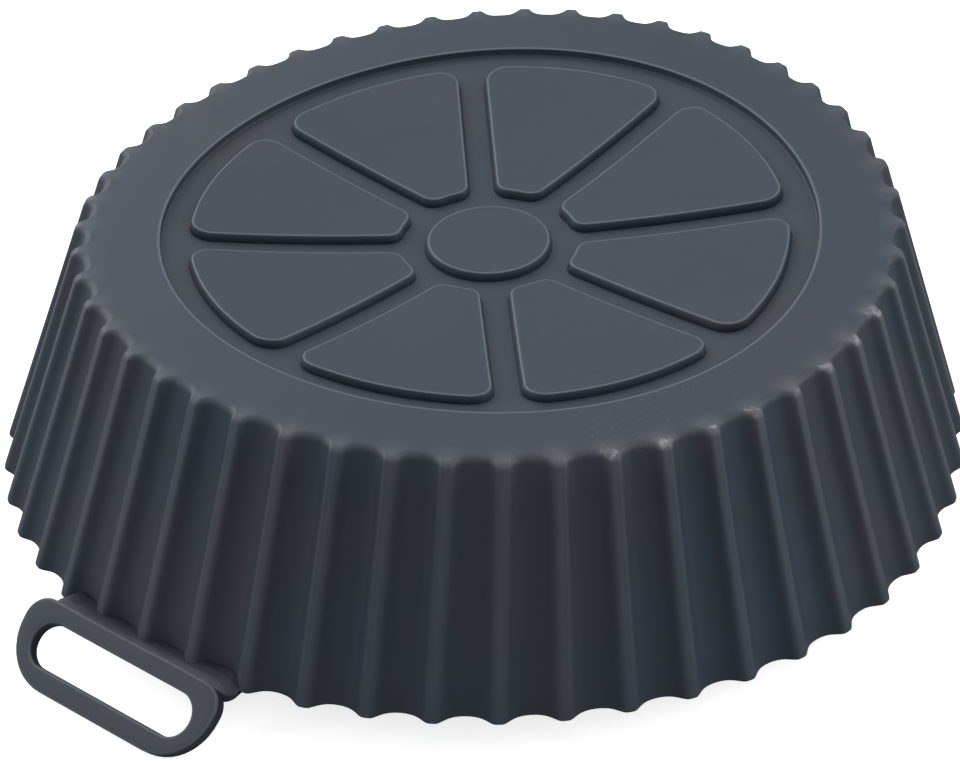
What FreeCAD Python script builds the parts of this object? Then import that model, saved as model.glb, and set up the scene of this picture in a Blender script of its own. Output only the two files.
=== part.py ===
import FreeCAD, Part
import math
import os

# Round fluted liner for a hot-air fryer, moulded as one piece and lying upside down.
# Z points up, towards the underside. X runs through the two handles.
# The origin is the middle of the footprint, level with the tips of the handles.

# Wall, its diameters measured over the ridges
rim_diameter = 200.0
base_diameter = 168.0
wall_depth = 50.4
valley_wall = 2.0
ridge_wall = 2.6

# Flutes: hollow scoops down the outside, which leave a narrow ridge between them
flute_count = 50
flute_depth = 2.5
ridge_width = 2.8
ridge_edge_radius = 2.0
shoulder_radius = 2.2

# Underside, with a wide shallow recess whose floor is dished towards the middle
recess_diameter = 132.0
recess_depth = 1.6
dish_depth = 5.2
floor_thickness = 2.2
inside_corner_radius = 3.0

# Raised pads in the recess
pad_count = 8
pad_ring_diameter = 120.8
pad_ring_bore = 36.0
pad_gap = 5.7
pad_outer_corner = 4.4
pad_inner_corner = 3.3
centre_pad_diameter = 25.0

# Handles, each a loop that slopes away from a root on the rim
handle_length = 50.0
handle_reach = 17.2
handle_thickness = 3.0
handle_slope = 38.0
handle_outer_corner = 11.2
handle_inner_corner = 5.0
handle_edge_radius = 0.5
slot_length = 41.2
slot_width = 9.0
slot_setback = 3.9
root_length = 51.6
root_overhang = 0.8
root_corner = 3.0

# Extra length of a cutting shape, so that it passes clean through a face
overrun = 1.0

rim_radius = rim_diameter / 2
base_radius = base_diameter / 2
recess_radius = recess_diameter / 2
taper = (rim_radius - base_radius) / wall_depth
half_pitch = math.pi / flute_count
slope = math.radians(handle_slope)
hinge_x = rim_radius + root_overhang

# The handles reach below the rim, which stands this far above their rounded lower edges
tip_along = handle_reach - handle_edge_radius
tip_across = handle_thickness - handle_edge_radius
tip_drop = tip_along * math.sin(slope) + tip_across * math.cos(slope) + handle_edge_radius
rim_z = max(tip_drop - handle_thickness, 0.0)
base_z = rim_z + wall_depth
inside_floor_z = base_z - recess_depth - floor_thickness
z_axis = FreeCAD.Vector(0, 0, 1)
origin = FreeCAD.Vector(0, 0, 0)


def ridge_radius(z):
    """Return the radius over the ridges at height z."""
    return rim_radius - taper * (z - rim_z)


def turned(places):
    """Return the solid turned about Z from (x, z) places; three in a tuple make an arc."""
    edges = []
    here = places[-1][-1] if len(places[-1]) == 3 else places[-1]
    for place in places:
        bend = place if len(place) == 3 else None
        start = bend[0] if bend else place
        if start != here:
            edges.append(Part.makeLine(upright(here), upright(start)))
        if bend:
            edges.append(Part.Arc(*[upright(point) for point in bend]).toShape())
        here = bend[2] if bend else place
    return Part.Face(Part.Wire(edges)).revolve(origin, z_axis, 360)


def upright(place):
    """Return the point of the XZ plane at this (x, z) place."""
    return FreeCAD.Vector(place[0], 0, place[1])


def rounded_edge(radius, z_top, bend):
    """Return the arc from a sloping side, of this radius at z_top, to a level top."""
    side_x = radius + taper * bend
    top_x = radius - bend
    short = 1 - math.sqrt(0.5)
    middle = (side_x - (side_x - top_x) * short, z_top - bend * short)
    return (side_x, z_top - bend), middle, (top_x, z_top)


def scoop_radius(radius):
    """Return the radius of a scoop that leaves ridge_width between two on this circle."""
    half_chord = radius * math.sin(half_pitch) - ridge_width / 2
    sagitta = math.sqrt(radius**2 - half_chord**2) - (radius - flute_depth)
    return (half_chord**2 + sagitta**2) / (2 * sagitta)


def scoops(cover):
    """Return the leaning cones that hollow the flutes, each thickened by cover."""
    z_low = rim_z - overrun
    z_high = base_z + overrun
    low = scoop_radius(ridge_radius(z_low))
    high = scoop_radius(ridge_radius(z_high))
    lean = math.cos(math.atan(taper))
    foot = FreeCAD.Vector(ridge_radius(z_low) - flute_depth + low / lean, 0, z_low)
    head = FreeCAD.Vector(ridge_radius(z_high) - flute_depth + high / lean, 0, z_high)
    axis = head - foot
    length = axis.Length + 2 * overrun
    narrowing = (low - high) / axis.Length
    axis.normalize()
    wide = low + cover + narrowing * overrun
    cone = Part.makeCone(wide, wide - narrowing * length, length, foot - axis * overrun, axis)
    found = []
    for place in range(flute_count):
        copy = cone.copy()
        copy.rotate(origin, z_axis, 360 / flute_count * (place + 0.5))
        found.append(copy)
    return found


def outer_body():
    """Return the filled outer form, with rounded ridges and a rounded shoulder."""
    shoulder = rounded_edge(base_radius, base_z, shoulder_radius)
    blank = turned([(0, base_z), (0, rim_z), (rim_radius, rim_z), shoulder])
    blank.rotate(origin, z_axis, 180 / flute_count)
    fluted = blank.cut(scoops(0))
    ridges = [edge for edge in fluted.Edges if edge.BoundBox.ZLength > wall_depth / 2]
    return fluted.makeFillet(ridge_edge_radius, ridges)


def cavity():
    """Return the space inside, open at the rim, over a floor that follows the dish."""
    corner = rounded_edge(ridge_radius(inside_floor_z) - ridge_wall, inside_floor_z, inside_corner_radius)
    z_low = rim_z - overrun
    mouth = ridge_radius(z_low) - ridge_wall
    blank = turned([(0, inside_floor_z), (0, z_low), (mouth, z_low), corner])
    blank.rotate(origin, z_axis, 180 / flute_count)
    return blank.cut(scoops(valley_wall)).cut(dished_plug(inside_floor_z, inside_floor_z + overrun))


def dished_plug(z_edge, z_top):
    """Return the turned solid above the dish that meets z_edge at the recess's edge."""
    sphere = (recess_radius**2 + dish_depth**2) / (2 * dish_depth)
    half = recess_radius / 2
    z_half = z_edge - dish_depth + sphere - math.sqrt(sphere**2 - half**2)
    dish = ((recess_radius, z_edge), (half, z_half), (0, z_edge - dish_depth))
    return turned([(0, z_top), (recess_radius, z_top), dish])


def rounded_corners(prism, split_x, outer_corner, inner_corner):
    """Return the prism with its upright edges rounded, each side of split_x by its own radius."""
    edges = [edge for edge in prism.Edges if abs(edge.tangentAt(edge.FirstParameter).z) > 0.99]
    outer = [edge for edge in edges if edge.CenterOfMass.x > split_x]
    inner = [edge for edge in edges if edge.CenterOfMass.x < split_x]
    rounded = prism.makeFillet(outer_corner, outer)
    return rounded.makeFillet(inner_corner, inner) if inner_corner else rounded


def wedge_pad(z_low, height):
    """Return one wedge of the pad ring as a tall prism, centred on the X axis."""
    outer = pad_ring_diameter / 2
    inner = pad_ring_bore / 2

    def corner(radius, side):
        """Return the corner on this circle, half a gap from the line between two pads."""
        angle = side * (math.pi / pad_count - math.asin(pad_gap / 2 / radius))
        return FreeCAD.Vector(radius * math.cos(angle), radius * math.sin(angle), z_low)

    edges = [
        Part.Arc(corner(outer, -1), FreeCAD.Vector(outer, 0, z_low), corner(outer, 1)).toShape(),
        Part.makeLine(corner(outer, 1), corner(inner, 1)),
        Part.Arc(corner(inner, 1), FreeCAD.Vector(inner, 0, z_low), corner(inner, -1)).toShape(),
        Part.makeLine(corner(inner, -1), corner(outer, -1)),
    ]
    prism = Part.Face(Part.Wire(edges)).extrude(FreeCAD.Vector(0, 0, height))
    return rounded_corners(prism, (outer + inner) / 2, pad_outer_corner, pad_inner_corner)


def pads():
    """Return the tall prisms of all the pads, the round one in the middle first."""
    z_low = base_z - dish_depth - recess_depth - overrun
    height = base_z + 2 * overrun - z_low
    found = [Part.makeCylinder(centre_pad_diameter / 2, height, FreeCAD.Vector(0, 0, z_low))]
    for place in range(pad_count):
        wedge = wedge_pad(z_low, height)
        wedge.rotate(origin, z_axis, 360 / pad_count * (place + 0.5))
        found.append(wedge)
    return found


def recess():
    """Return what is taken from the underside, leaving pads as high as the recess's edge."""
    z_top = base_z + overrun
    channels = dished_plug(base_z - recess_depth, z_top).cut(pads())
    return channels.fuse(dished_plug(base_z, z_top))


def slab(length, width):
    """Return a slab of the handle's thickness that runs from X = 0, its top at Z = 0."""
    corner = FreeCAD.Vector(0, -width / 2, -handle_thickness)
    return Part.makeBox(length, width, handle_thickness, corner)


def slot():
    """Return the slot of a flat loop, as a prism with round ends."""
    straight = slot_length - slot_width
    z_low = -handle_thickness - overrun
    height = handle_thickness + 2 * overrun
    prism = Part.makeBox(slot_width, straight, height, FreeCAD.Vector(slot_setback, -straight / 2, z_low))
    for side in (-1, 1):
        centre = FreeCAD.Vector(slot_setback + slot_width / 2, side * straight / 2, z_low)
        prism = prism.fuse(Part.makeCylinder(slot_width / 2, height, centre))
    return prism.removeSplitter()


def handle():
    """Return the handle on the +X side: a root across the rim and its sloping loop."""
    loop = slab(handle_reach, handle_length)
    loop = rounded_corners(loop, handle_reach / 2, handle_outer_corner, handle_inner_corner)
    loop = loop.cut(slot())
    level = [edge for edge in loop.Edges if abs(edge.tangentAt(edge.FirstParameter).z) < 0.01]
    loop = loop.makeFillet(handle_edge_radius, level)
    loop.rotate(origin, FreeCAD.Vector(0, 1, 0), handle_slope)
    top = rim_z + handle_thickness
    loop.translate(FreeCAD.Vector(hinge_x, 0, top))
    root_reach = hinge_x - recess_radius
    root = rounded_corners(slab(root_reach, root_length), root_reach / 2, root_corner, 0)
    root.translate(FreeCAD.Vector(recess_radius, 0, top))
    return root.fuse(loop)


def liner():
    """Return the whole liner as one solid."""
    first = handle()
    second = first.copy()
    second.rotate(origin, z_axis, 180)
    body = outer_body().fuse([first, second])
    return body.cut(cavity()).cut(recess()).removeSplitter()


os.makedirs("parts", exist_ok=True)
shape = liner()
solid = shape.Solids[0] if len(shape.Solids) == 1 else shape
solid.exportStep("parts/liner.step")
box = solid.optimalBoundingBox(False, False)
print("liner", len(shape.Solids), "solid", round(solid.Volume / 1000, 1), "cm3, valid", solid.isValid())
print("X", round(box.XMin, 2), round(box.XMax, 2), "Y", round(box.YMin, 2), round(box.YMax, 2))
print("Z", round(box.ZMin, 2), round(box.ZMax, 2))
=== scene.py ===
"""A fluted silicone liner for an air fryer, standing upside down in a plain studio.

The moulding, its pads and its handles are meshes worked out from a few sizes. They stand in for the one
solid of the frame, in the same place and in metres. +Z points up, towards the underside of the liner, and X
runs through its two handles.
"""

import logging
import math
from dataclasses import dataclass, field
from enum import Enum

import bmesh
import bpy
import numpy as np
from mathutils import Matrix, Vector


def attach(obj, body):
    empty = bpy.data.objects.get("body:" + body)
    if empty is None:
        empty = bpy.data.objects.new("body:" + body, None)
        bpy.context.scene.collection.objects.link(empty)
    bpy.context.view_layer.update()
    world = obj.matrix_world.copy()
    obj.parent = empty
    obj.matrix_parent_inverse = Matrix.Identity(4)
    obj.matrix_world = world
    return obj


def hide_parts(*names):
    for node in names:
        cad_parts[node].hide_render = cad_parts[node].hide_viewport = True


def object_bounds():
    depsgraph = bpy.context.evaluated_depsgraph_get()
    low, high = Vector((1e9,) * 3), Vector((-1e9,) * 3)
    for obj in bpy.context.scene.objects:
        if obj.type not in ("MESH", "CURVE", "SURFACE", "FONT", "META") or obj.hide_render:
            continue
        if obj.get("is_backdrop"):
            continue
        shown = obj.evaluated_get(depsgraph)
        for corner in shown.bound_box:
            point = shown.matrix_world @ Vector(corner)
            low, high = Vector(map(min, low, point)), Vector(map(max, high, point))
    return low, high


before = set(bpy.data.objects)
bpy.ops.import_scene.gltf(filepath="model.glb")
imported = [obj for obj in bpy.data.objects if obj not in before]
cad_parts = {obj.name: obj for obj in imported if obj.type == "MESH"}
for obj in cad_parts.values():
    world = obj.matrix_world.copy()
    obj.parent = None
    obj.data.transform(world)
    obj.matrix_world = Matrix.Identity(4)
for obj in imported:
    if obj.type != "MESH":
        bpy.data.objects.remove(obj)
CAD_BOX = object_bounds()

log = logging.getLogger("liner")

MM = 0.001
NODE = "liner"
BODY = "root"
WELD = 0.004 * MM

# The side of the liner whose ridge ends are rubbed most, and the side with most dust
RUBBED_SIDE = (-0.139, -0.990, 0.0)
DUSTY_SIDE = (-0.358, -0.934, 0.0)


class Way(Enum):
    """The two sides of the wall."""

    OUTER = "outer"
    INNER = "inner"


class Spot(Enum):
    """The marks that the meshes carry for their finishes, by the name of the attribute."""

    # crest: ridges painted pale, a rubbed band with a painted highlight line down its middle
    CREST = "crest"
    SHOULDER = "shoulder"
    # edge: rounded edges painted pale, a painted highlight with some rubbing
    EDGE = "edge"
    # rough: coarse skin for the bump, and painted light that lifts the shade on the handles
    ROUGH = "rough"


@dataclass(frozen=True)
class Corner:
    """One corner of a section or an outline.

    across and up are its place, radius its rounding, bends the pieces of its arc, and runs the pieces of the
    straight stretch that leads to it.
    """

    across: float
    up: float
    radius: float = 0.0
    bends: int = 4
    runs: int = 1


def path(corners: list[Corner], closed: bool = False) -> np.ndarray:
    """Trace a path through corners, with each rounded by a tangent arc.

    Args:
        corners: The corners, in order.
        closed: Whether the last corner leads back to the first.

    Returns:
        The points of the path, one row each.
    """
    count = len(corners)
    points: list[np.ndarray] = []
    for place, corner in enumerate(corners):
        here = np.array([corner.across, corner.up])
        before = corners[place - 1]
        after = corners[(place + 1) % count]
        if corner.radius == 0 or (not closed and place in (0, count - 1)):
            arc = [here]
        else:
            back = np.array([before.across, before.up]) - here
            ahead = np.array([after.across, after.up]) - here
            back /= np.linalg.norm(back)
            ahead /= np.linalg.norm(ahead)
            half = math.acos(np.clip(back @ ahead, -1, 1)) / 2
            middle = (back + ahead) / np.linalg.norm(back + ahead)
            centre = here + middle * corner.radius / math.sin(half)
            reach = corner.radius / math.tan(half)
            first = here + back * reach - centre
            last = here + ahead * reach - centre
            turn = math.pi - 2 * half
            shares = np.linspace(0, 1, corner.bends + 1)
            arc = [
                centre + (first * math.sin((1 - s) * turn) + last * math.sin(s * turn)) / math.sin(turn)
                for s in shares
            ]
        if points:
            start = points[-1]
            points += [start + (arc[0] - start) * n / corner.runs for n in range(1, corner.runs)]
        points += arc
    return np.array(points)


def arc_points(centre: np.ndarray, radius: float, start: float, end: float, pieces: int) -> np.ndarray:
    """Return the points of an arc about centre, from the angle start to the angle end."""
    angles = np.linspace(start, end, pieces + 1)
    return centre + radius * np.c_[np.cos(angles), np.sin(angles)]


def outward(outline: np.ndarray) -> np.ndarray:
    """Work out which way an outline faces.

    Args:
        outline: A closed outline that runs anticlockwise.

    Returns:
        Its unit normals, which point outwards.
    """
    along = np.roll(outline, -1, axis=0) - np.roll(outline, 1, axis=0)
    normals = np.c_[along[:, 1], -along[:, 0]]
    return normals / np.linalg.norm(normals, axis=1)[:, None]


def soft_least(first: np.ndarray, second: np.ndarray, blend: float) -> np.ndarray:
    """Return the lesser of two values, eased over blend where they are close."""
    near = np.clip(blend - np.abs(first - second), 0, None) / blend
    return np.minimum(first, second) - near * near * blend / 4


@dataclass
class Sheet:
    """A mesh in the making: points, faces, and the marks that its points carry."""

    points: list[np.ndarray] = field(default_factory=list)
    faces: list[tuple[int, ...]] = field(default_factory=list)
    marks: dict[Spot, list[float]] = field(default_factory=lambda: {spot: [] for spot in Spot})

    def add(self, points: np.ndarray, **marks: float | np.ndarray) -> np.ndarray:
        """Add points with their marks.

        Args:
            points: The points, one row each.
            marks: By the name of its attribute, one value for all of them or one for each.

        Returns:
            The numbers of the points.
        """
        start = len(self.points)
        self.points += list(points)
        for spot in Spot:
            given = marks.get(spot.value, 0.0)
            self.marks[spot] += list(np.broadcast_to(given, len(points)).astype(float))
        return np.arange(start, start + len(points))

    def band(self, first: np.ndarray, second: np.ndarray, closed: bool = False) -> None:
        """Join two rows with four-sided faces.

        Args:
            first: The numbers of one row's points.
            second: Those of the other, as many.
            closed: Whether the rows' ends are joined too.
        """
        count = len(first)
        for place in range(count if closed else count - 1):
            after = (place + 1) % count
            self.faces.append((first[place], second[place], second[after], first[after]))

    def spread(self, coarse: np.ndarray, fine: np.ndarray, upwards: bool) -> None:
        """Join a coarse row to a finer one.

        Args:
            coarse: The numbers of the coarse row's points.
            fine: Those of the finer row, with a whole number of pieces to each coarse piece.
            upwards: Whether the faces look up, where the rows run anticlockwise as seen from above.
        """
        ratio = (len(fine) - 1) // (len(coarse) - 1)
        for place in range(len(coarse) - 1):
            middle = place * ratio + ratio // 2
            left, right = coarse[place], coarse[place + 1]
            for n in range(place * ratio, (place + 1) * ratio):
                hub = left if n < middle else right
                three = (hub, fine[n], fine[n + 1])
                self.faces.append(three if upwards else (three[1], three[0], three[2]))
            wedge = (left, fine[middle], right)
            self.faces.append(wedge if upwards else (fine[middle], left, right))

    def fan(self, row: np.ndarray, hub: int, upwards: bool, closed: bool = False) -> None:
        """Join a row to one point in its middle.

        Args:
            row: The numbers of the row's points.
            hub: The number of the middle point.
            upwards: Whether the faces look up, where the row runs anticlockwise as seen from above.
            closed: Whether the row's ends are joined too.
        """
        count = len(row)
        for place in range(count if closed else count - 1):
            after = (place + 1) % count
            three = (hub, row[place], row[after])
            self.faces.append(three if upwards else (three[1], three[0], three[2]))

    def mesh(self, name: str) -> bpy.types.Mesh:
        """Finish the mesh.

        Args:
            name: Its name.

        Returns:
            The mesh, with its marks as attributes.
        """
        made = bpy.data.meshes.new(name)
        points = [tuple(point) for point in self.points]
        faces = [tuple(map(int, face)) for face in self.faces]
        made.from_pydata(points, [], faces)
        for spot, values in self.marks.items():
            attribute = made.attributes.new(spot.value, "FLOAT", "POINT")
            attribute.data.foreach_set("value", values)
        made.update()
        return made


@dataclass(frozen=True)
class Pattern:
    """One noise pattern: its scale, its detail and its roughness."""

    scale: float
    detail: float = 2.0
    roughness: float = 0.5


class Graph:
    """A node tree under construction, with short calls to add and to join its nodes."""

    def __init__(self, tree: bpy.types.NodeTree) -> None:
        """Keep the tree and start from nothing."""
        self.tree = tree
        tree.nodes.clear()

    def add(self, kind: str, **settings: object) -> bpy.types.Node:
        """Add a node.

        Args:
            kind: Its type.
            settings: The properties to set on it, by name.

        Returns:
            The node.
        """
        node = self.tree.nodes.new(kind)
        for name, value in settings.items():
            setattr(node, name, value)
        return node

    def feed(self, socket: bpy.types.NodeSocket, value: object) -> None:
        """Join something to an input, or set the input to it.

        Args:
            socket: The input.
            value: The output to join to it, or the value to set. None leaves the input as it is.
        """
        if isinstance(value, bpy.types.NodeSocket):
            self.tree.links.new(value, socket)
        elif value is not None:
            socket.default_value = value

    def math(self, operation: str, *values: object, clamp: bool = False) -> bpy.types.NodeSocket:
        """Add a Math node.

        Args:
            operation: What it does.
            values: What each of its inputs gets.
            clamp: Whether its result is kept between zero and one.

        Returns:
            The result.
        """
        node = self.add("ShaderNodeMath", operation=operation, use_clamp=clamp)
        for socket, value in zip(node.inputs, values):
            self.feed(socket, value)
        return node.outputs[0]

    def span(self, value: object, low: object, high: object, least: float = 0.0) -> bpy.types.NodeSocket:
        """Turn a value into a share that rises smoothly to one.

        Args:
            value: The value.
            low: Where the share starts to rise.
            high: Where it reaches one.
            least: What it is before it rises.

        Returns:
            The share.
        """
        node = self.add("ShaderNodeMapRange", interpolation_type="SMOOTHSTEP")
        given = {"Value": value, "From Min": low, "From Max": high, "To Min": least, "To Max": 1.0}
        for name, setting in given.items():
            self.feed(node.inputs[name], setting)
        return node.outputs["Result"]

    def blend(self, share: object, first: object, second: object) -> bpy.types.NodeSocket:
        """Mix two colours.

        Args:
            share: How much of the second there is.
            first: One colour.
            second: The other.

        Returns:
            The mixed colour.
        """
        node = self.add("ShaderNodeMix", data_type="RGBA")
        colours = [s for s in node.inputs if s.type == "RGBA"]
        self.feed(node.inputs["Factor"], share)
        self.feed(colours[0], first)
        self.feed(colours[1], second)
        return next(s for s in node.outputs if s.type == "RGBA")

    def noise(self, place: object, pattern: Pattern, scale: object = None) -> bpy.types.NodeSocket:
        """Add a noise pattern.

        Args:
            place: Where it is read.
            pattern: Its scale, detail and roughness.
            scale: Another scale, which takes the place of the pattern's own.

        Returns:
            The pattern's value.
        """
        node = self.add("ShaderNodeTexNoise")
        self.feed(node.inputs["Vector"], place)
        self.feed(node.inputs["Scale"], pattern.scale if scale is None else scale)
        self.feed(node.inputs["Detail"], pattern.detail)
        self.feed(node.inputs["Roughness"], pattern.roughness)
        return node.outputs["Fac"]

    def scaled(self, place: object, factors: tuple[float, float, float]) -> bpy.types.NodeSocket:
        """Stretch or flatten a place.

        Args:
            place: The place.
            factors: What each of its coordinates is multiplied by.

        Returns:
            The new place.
        """
        node = self.add("ShaderNodeVectorMath", operation="MULTIPLY")
        self.feed(node.inputs[0], place)
        self.feed(node.inputs[1], factors)
        return node.outputs[0]

    def mark(self, spot: Spot) -> bpy.types.NodeSocket:
        """Return the value of a mark that the mesh carries."""
        return self.add("ShaderNodeAttribute", attribute_name=spot.value).outputs["Fac"]

    def side(self, place: object, direction: object, low: float, high: float) -> bpy.types.NodeSocket:
        """Work out how much a place lies on one side of the Z axis.

        Args:
            place: The place.
            direction: The way from the axis to that side.
            low: The cosine of the angle from there at which the share starts to rise.
            high: The cosine at which it reaches one.

        Returns:
            The share.
        """
        aim = self.add("ShaderNodeVectorMath", operation="NORMALIZE")
        self.feed(aim.inputs[0], self.scaled(place, (1.0, 1.0, 0.0)))
        facing = self.add("ShaderNodeVectorMath", operation="DOT_PRODUCT")
        self.feed(facing.inputs[0], aim.outputs[0])
        self.feed(facing.inputs[1], direction)
        return self.span(facing.outputs["Value"], low, high)


def open_group(
    name: str,
    kind: str,
    inputs: dict[str, tuple[str, object]],
    outputs: dict[str, str],
) -> tuple[Graph, dict[str, bpy.types.NodeSocket], bpy.types.Node]:
    """Start a node group.

    Args:
        name: Its name.
        kind: The type of its tree.
        inputs: For each input its socket's type and its default.
        outputs: For each output its socket's type.

    Returns:
        The graph, the input sockets by name, and the node that takes the outputs.
    """
    tree = bpy.data.node_groups.new(name, kind)
    for label, (socket_type, default) in inputs.items():
        socket = tree.interface.new_socket(label, in_out="INPUT", socket_type=socket_type)
        if default is not None:
            socket.default_value = default
    for label, socket_type in outputs.items():
        tree.interface.new_socket(label, in_out="OUTPUT", socket_type=socket_type)
    graph = Graph(tree)
    start = graph.add("NodeGroupInput")
    end = graph.add("NodeGroupOutput")
    return graph, {socket.name: socket for socket in start.outputs if socket.name}, end


class RingOfCopies:
    """Geometry Nodes that repeat a part round the Z axis and give it its finish."""

    NAME = "Ring of copies"

    def __init__(self) -> None:
        """Build the tree."""
        graph, given, end = open_group(
            self.NAME,
            "GeometryNodeTree",
            {
                "Geometry": ("NodeSocketGeometry", None),
                "Copies": ("NodeSocketInt", 1),
                "First turn": ("NodeSocketFloat", 0.0),
                "Finish": ("NodeSocketMaterial", None),
            },
            {"Geometry": "NodeSocketGeometry"},
        )
        points = graph.add("GeometryNodePoints")
        graph.feed(points.inputs["Count"], given["Copies"])
        number = graph.add("GeometryNodeInputIndex").outputs["Index"]
        step = graph.math("DIVIDE", math.tau, given["Copies"])
        turn = graph.math("MULTIPLY_ADD", number, step, given["First turn"])
        angles = graph.add("ShaderNodeCombineXYZ")
        graph.feed(angles.inputs["Z"], turn)
        copies = graph.add("GeometryNodeInstanceOnPoints")
        graph.feed(copies.inputs["Points"], points.outputs[0])
        graph.feed(copies.inputs["Instance"], given["Geometry"])
        graph.feed(copies.inputs["Rotation"], angles.outputs[0])
        real = graph.add("GeometryNodeRealizeInstances")
        graph.feed(real.inputs["Geometry"], copies.outputs["Instances"])
        dressed = graph.add("GeometryNodeSetMaterial")
        graph.feed(dressed.inputs["Geometry"], real.outputs["Geometry"])
        graph.feed(dressed.inputs["Material"], given["Finish"])
        graph.feed(end.inputs["Geometry"], dressed.outputs["Geometry"])
        self.tree = graph.tree

    def repeat(
        self,
        name: str,
        part: bpy.types.Mesh,
        copies: int,
        first_turn: float,
        finish: bpy.types.Material,
    ) -> bpy.types.Object:
        """Make one object of copies of part, spaced evenly round the axis.

        Args:
            name: The object's name.
            part: The mesh to repeat, in the place of the copy at no turn.
            copies: How many.
            first_turn: The angle of the first copy.
            finish: Its material.

        Returns:
            The object, with a plain welded mesh.
        """
        maker = bpy.data.objects.new(f"{name}_maker", part)
        bpy.context.scene.collection.objects.link(maker)
        modifier = maker.modifiers.new("Copies", "NODES")
        modifier.node_group = self.tree
        values = {"Copies": copies, "First turn": first_turn, "Finish": finish}
        for item in self.tree.interface.items_tree:
            if item.in_out == "INPUT" and item.name in values:
                modifier[item.identifier] = values[item.name]
        graph = bpy.context.evaluated_depsgraph_get()
        mesh = bpy.data.meshes.new_from_object(maker.evaluated_get(graph))
        maker.modifiers.remove(modifier)
        bpy.data.objects.remove(maker)
        bpy.data.meshes.remove(part)
        mesh.name = name
        weld = bmesh.new()
        weld.from_mesh(mesh)
        bmesh.ops.remove_doubles(weld, verts=weld.verts, dist=WELD)
        weld.to_mesh(mesh)
        weld.free()
        made = bpy.data.objects.new(name, mesh)
        bpy.context.scene.collection.objects.link(made)
        return made


@dataclass
class Wall:
    """The sizes of the fluted wall, which its handles and its underside follow."""

    rim_radius: float = 100 * MM
    base_radius: float = 83.6 * MM
    depth: float = 50.4 * MM
    top: float = CAD_BOX[1].z
    flutes: int = 50
    flute_depth: float = 2.45 * MM
    ridge_width: float = 2.8 * MM
    crest_softness: float = 1.45 * MM
    top_softness: float = 2.9 * MM
    fullness: float = 0.34 * MM
    rim_fullness: float = 0.35
    valley_wall: float = 2.0 * MM
    ridge_wall: float = 2.6 * MM

    def __post_init__(self) -> None:
        """Work out what follows from the sizes."""
        self.rim = self.top - self.depth
        self.taper = (self.rim_radius - self.base_radius) / self.depth
        self.half_pitch = math.pi / self.flutes

    def ridge(self, height: float | np.ndarray) -> float | np.ndarray:
        """Return the radius over the ridges at a height."""
        return self.rim_radius - self.taper * (height - self.rim)

    def outline(self, height: float, turn: np.ndarray, way: Way = Way.OUTER) -> np.ndarray:
        """Return the wall's radius at some angles.

        Args:
            height: Where the wall is cut.
            turn: Angles from the nearest ridge.
            way: Whether the outer or the inner side is wanted.

        Returns:
            The distances from the axis.
        """
        radius = self.ridge(height)
        half_chord = radius * math.sin(self.half_pitch) - self.ridge_width / 2
        sagitta = math.sqrt(radius**2 - half_chord**2) - (radius - self.flute_depth)
        scoop = (half_chord**2 + sagitta**2) / (2 * sagitta)
        centre = radius - self.flute_depth + scoop
        inner = way is Way.INNER
        cover = self.valley_wall if inner else 0.0
        crest = radius - self.ridge_wall if inner else radius
        from_scoop = self.half_pitch - np.abs(turn)
        below = (scoop + cover) ** 2 - (centre * np.sin(from_scoop)) ** 2
        arc = centre * np.cos(from_scoop) - np.sqrt(np.clip(below, 0, None))
        along = np.clip(radius * from_scoop / half_chord, 0, 1) ** 2
        share = min(max((height - self.rim) / self.depth, 0), 1)
        full = self.rim_fullness + (1 - self.rim_fullness) * share
        softness = self.crest_softness + (self.top_softness - self.crest_softness) * share
        arc -= 4 * self.fullness * full * along * (1 - along)
        return soft_least(arc, np.full_like(arc, crest), softness)


@dataclass
class Underside:
    """The sizes of the recess in the underside, and of its dished floor."""

    recess_radius: float = 66 * MM
    recess_depth: float = 1.6 * MM
    dish_depth: float = 5.2 * MM
    floor: float = 2.2 * MM
    lip_radius: float = 0.28 * MM
    # lip_width is the width of the painted highlight along the lip
    lip_width: float = 0.17 * MM
    lip_margin: float = 0.51 * MM
    draft: float = 0.04 * MM
    foot_radius: float = 0.22 * MM
    hold: float = 0.15 * MM

    def dish(self, radius: float | np.ndarray) -> float | np.ndarray:
        """Work out how deep the dish is.

        Args:
            radius: Distances from the axis.

        Returns:
            How far the dish lies below its edge there.
        """
        sphere = (self.recess_radius**2 + self.dish_depth**2) / (2 * self.dish_depth)
        inside = np.minimum(radius, self.recess_radius)
        return self.dish_depth - sphere + np.sqrt(sphere**2 - inside**2)


@dataclass(frozen=True)
class Hang:
    """How one handle hangs from the rim.

    turn is the side of the liner that it is on, lift its top's height over the rim, slope and yaw the way in
    which its loop points, and shift its place along the rim.
    """

    name: str
    turn: float
    lift: float = 3.3 * MM
    slope: float = math.radians(41.5)
    yaw: float = 0.0
    shift: float = 0.0
    root_shift: float = 0.0


NEAR_HANDLE = Hang("liner_near_handle", math.pi, yaw=math.radians(2.0), shift=-1.1 * MM, root_shift=0.8 * MM)
FAR_HANDLE = Hang("liner_far_handle", 0.0, slope=math.radians(41.1))


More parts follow.
